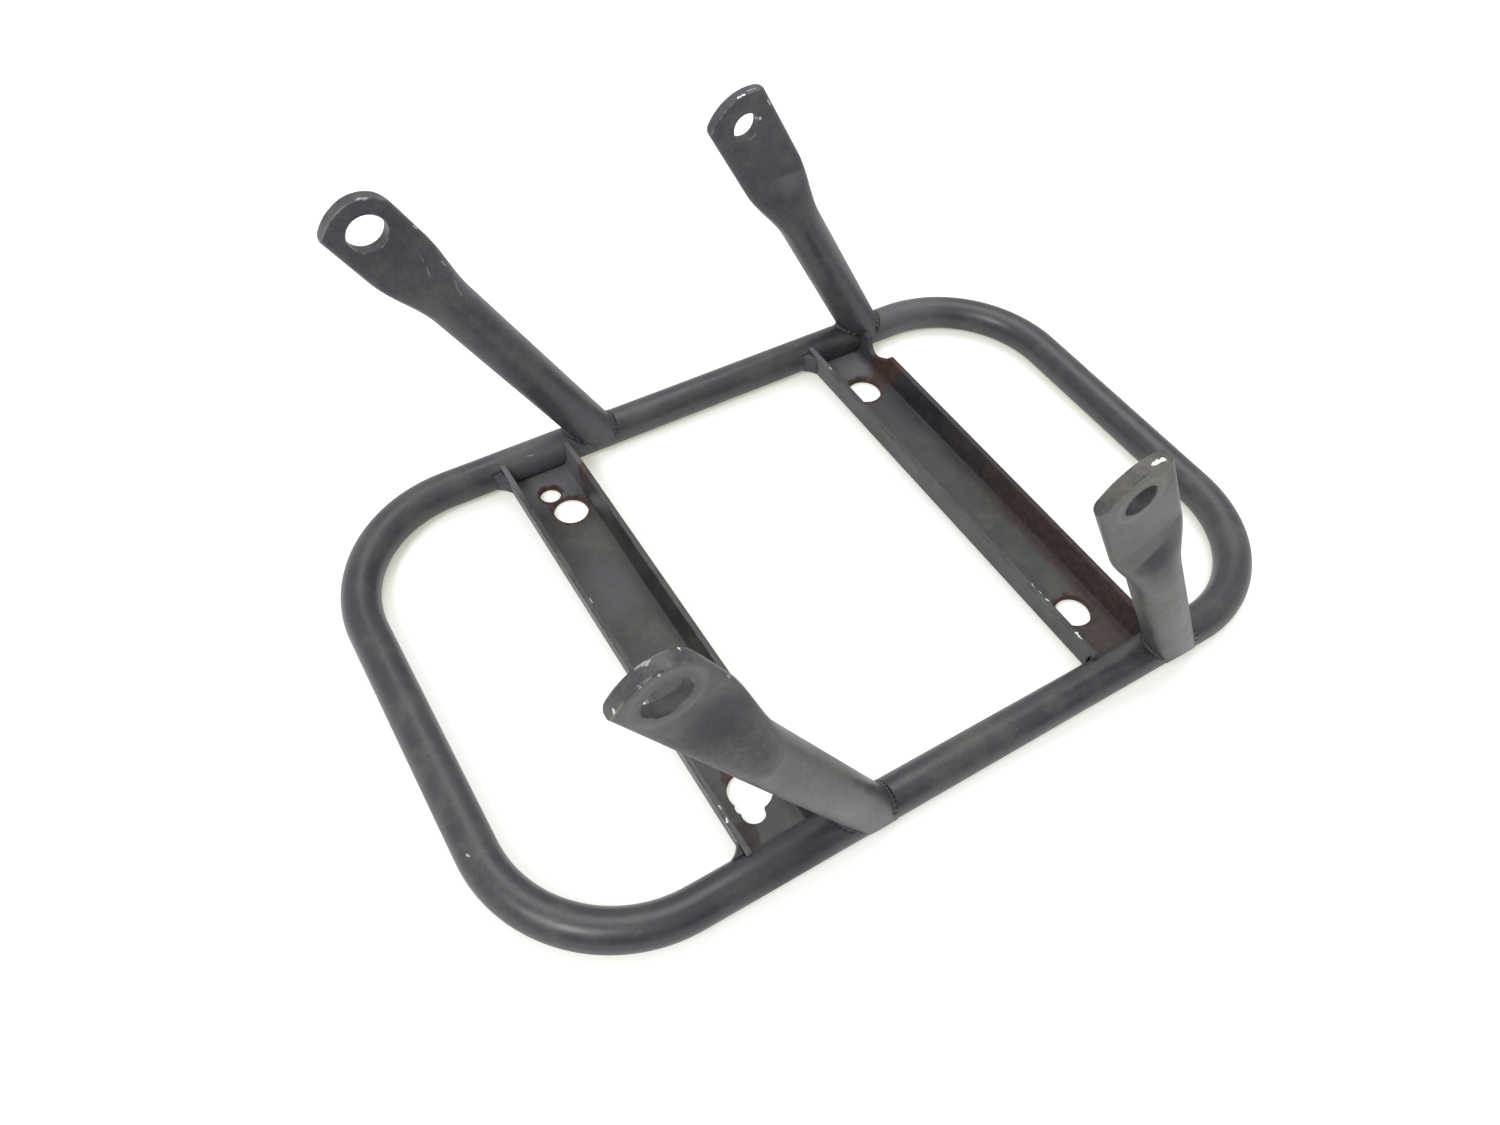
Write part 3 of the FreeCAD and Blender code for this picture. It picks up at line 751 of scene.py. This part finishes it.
scale = bpy.data.objects.new("rust_scale", right_channel.data.copy())
bpy.context.collection.objects.link(scale)
run_tree(scale, scale_tree(rust_scale_material()),
         {"Flange": right_side - SCALE_INSET, "Front": RUST_FRONT, "Back": RUST_BACK,
          "Density": FLAKES_PER_SQUARE_METRE, "Flake Size": FLAKE_SIZE})
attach(scale, "root")
print("rust scale:", len(scale.data.polygons), "faces")

# %% [markdown]
# ## The legs
# A leg is a tube whose end is pressed flat, cut to a tip and drilled. The press leaves a soft spoon shape
# between tube and tab, which the CAD skin has. Bolts and spanners have chipped the tabs, each in its own way,
# so every leg gets its own paint, with a little rust in its bore. The front legs have painted shade in the
# hollow of the spoon and in the bore, and the ring that a washer has rubbed. On the back right leg painted
# fill light lies below the crease; on the front right leg a patch of painted fill light lifts the tab and
# the painted shade lies below the crease. The lighter greys of the front legs are painted light too.

# %% Marks on the legs
# Each chip: first pixel, last pixel, width in mm, strength
LEG_CHIPS = {
    "back_left": [((357, 199), (366, 198), 0.8, 0.35), ((413, 226), (417, 228), 0.6, 0.4),
                  ((442, 262), (446, 266), 0.6, 0.3), ((421, 257), (424, 262), 0.3, 0.12),
                  ((427, 268), (430, 277), 0.3, 0.18), ((455, 282), (462, 296), 0.8, 0.10)],
    "back_right": [((738, 98), (744, 95), 0.7, 0.9), ((748, 91), (756, 88), 0.5, 0.3),
                   ((755, 118), (760, 118), 0.8, 0.8), ((768, 100), (770, 104), 0.6, 0.5)],
    "front_left": [((679, 648), (680, 650), 0.6, 0.8), ((635, 668), (649, 661), 0.9, 0.3),
                   ((658, 675), (659, 676), 0.4, 0.6), ((638, 686), (640, 688), 0.5, 0.6),
                   ((613, 710), (614, 712), 0.6, 0.6), ((722, 668), (728, 676), 0.6, 0.3)],
    "front_right": [((1153, 464), (1164, 459), 1.0, 1.0), ((1181, 458), (1185, 500), 0.35, 0.5)],
}
# Each patch of painted light and shade: pixel, reach in mm, strength, colour, and two pixels of the crease
# that it lies below
LEG_LIGHT_AND_SHADE = {
    "back_left": [],
    "back_right": [((790, 179), 10, 0.55, PAINTED_FILL_LIGHT, ((761, 185), (802, 170)))],
    "front_left": [((716, 722), 16, 0.7, PAINTED_SHADE, None)],
    "front_right": [((1146, 548), 12, 0.45, PAINTED_FILL_LIGHT, None),
                    ((1158, 558), 12, 0.85, PAINTED_SHADE, ((1134, 571), (1168, 538)))],
}
# Painted shade in the bores of the front legs, by strength
BORE_SHADE = {"front_left": 0.4, "front_right": 0.7}
# The lighter and warm greys of the front legs are painted light
LEG_GREYS = {"back_left": PAINT_GREY, "back_right": PAINT_GREY, "front_left": FRONT_LEG_PAINTED_LIGHT_GREY,
             "front_right": WARM_PAINTED_LIGHT_GREY}
print("chips on the legs:", sum(len(marks) for marks in LEG_CHIPS.values()))

# %% Washer rings and creases
WASHER_TO_BORE = 1.45


def washer_ring(bore):
    """A rubbed ring where a washer sat round a bore."""
    middle = Vector(bore["pos_m"])
    radius = bore["dims"]["r_mm"] * MM * WASHER_TO_BORE

    def mask(place, grain):
        away = place.vector("SUBTRACT", middle).vector("MULTIPLY", (1, 0, 1))
        distance = away.add("ShaderNodeVectorMath", {"operation": "LENGTH"}, {0: away}, 1)
        off = distance.add("ShaderNodeMath", {"operation": "ABSOLUTE"}, {0: distance - radius})
        return (off + (grain - 0.5) * 4 * MM).step(1.8 * MM, 0) * 0.05
    return mask


def below(node, crease, patch):
    """The part of a painted patch that lies below the crease that the press left across a leg."""
    start, end = [touch(node, pixel) for pixel in crease]
    upwards = Vector((start.z - end.z, 0, end.x - start.x)).normalized()

    def mask(place, grain):
        height = place.vector("SUBTRACT", start).vector("DOT_PRODUCT", upwards, 1) + (grain - 0.5) * 2 * MM
        return patch(place, grain) * height.step(0.8 * MM, -0.4 * MM)
    return mask


print("washer rings at", WASHER_TO_BORE, "times a bore's radius")

# %% Legs
PATCH_CORE = 2 * MM
LEG_RUBBED = 1.0

for side, marks in LEG_CHIPS.items():
    node = side + "_leg"
    bore = bores[side + "_tab_bore"]
    chips = chip_marks(node, marks)
    light_and_shade_layers = []
    for pixel, outer, strength, light_and_shade_colour, crease in LEG_LIGHT_AND_SHADE[side]:
        patch = haze(touch(node, pixel), PATCH_CORE, outer * MM, strength)
        if crease:
            patch = below(node, crease, patch)
        light_and_shade_layers.append((patch, light_and_shade_colour))
    # The front legs also get a washer ring and painted shade in the bore
    if side in BORE_SHADE:
        chips.append(washer_ring(bore))
        light_and_shade_layers.append((hole_rust(bore, 0.4 * MM, BORE_SHADE[side]), PAINTED_SHADE))
    paint = worn_paint(node + "_paint", stains=[hole_rust(bore, 0.8 * MM, 0.12)], chips=chips, light_and_shade_layers=light_and_shade_layers,
                       rubbed=LEG_RUBBED, grey=LEG_GREYS[side])
    leg = soften(skin_copy(node, paint))
    finish_piece(leg, node)
    print(node, len(leg.data.polygons), "faces")

# %% [markdown]
# ## The welds
# A hand-laid weld is a row of frozen ripples. The CAD beads are smooth, so a small tree divides each bead and
# pushes its skin in and out by a sine along its run, with a little noise on top. The run is across the hoop
# for a leg's weld and upwards for a channel's.

# %% A tree that ripples a weld
RIPPLE_PITCH = 1.5 * MM
RIPPLE_HEIGHT = 0.10 * MM
LUMP_SIZE = 1.2 * MM


def weld_tree(name, axis, material):
    tree, given = new_tree(name, ["Pitch", "Height"])
    wire = Wire(tree)
    finer = wire.add("GeometryNodeSubdivideMesh", {}, {"Mesh": given["Geometry"], "Level": 2})
    place = wire.add("GeometryNodeInputPosition")
    turn = place.axis(axis) * (2 * math.pi) / given["Pitch"]
    ripple = turn.add("ShaderNodeMath", {"operation": "SINE"}, {0: turn})
    lumps = place.noise(LUMP_SIZE, 2) - 0.5
    push = (ripple + lumps * 2) * given["Height"]
    normal = wire.add("GeometryNodeInputNormal")
    offset = wire.add("ShaderNodeVectorMath", {"operation": "SCALE"}, {0: normal, "Scale": push})
    rippled = wire.add("GeometryNodeSetPosition", {}, {"Geometry": finer, "Offset": offset})
    return close_tree(wire.add("GeometryNodeSetShadeSmooth", {}, {"Geometry": rippled}), material)


print("ripples:", RIPPLE_PITCH / MM, "mm apart,", RIPPLE_HEIGHT / MM, "mm high")

# %% Welds
weld_paint = worn_paint("weld_paint", stains=[spot_rust(bite, 7 * MM, 20 * MM)], rubbed=0)
leg_weld_tree = weld_tree("leg_weld", "Y", weld_paint)
channel_weld_tree = weld_tree("channel_weld", "Z", weld_paint)
for node in sorted(frame["nodes"]):
    if node.endswith("_weld"):
        weld = skin_copy(node, weld_paint)
        # A painted bead has no sharp edge
        weld.data.set_sharp_from_angle(angle=math.pi)
        tree = leg_weld_tree if "_leg_" in node else channel_weld_tree
        run_tree(weld, tree, {"Pitch": RIPPLE_PITCH, "Height": RIPPLE_HEIGHT})
        finish_piece(weld, node)
        print(node, len(weld.data.polygons), "faces")
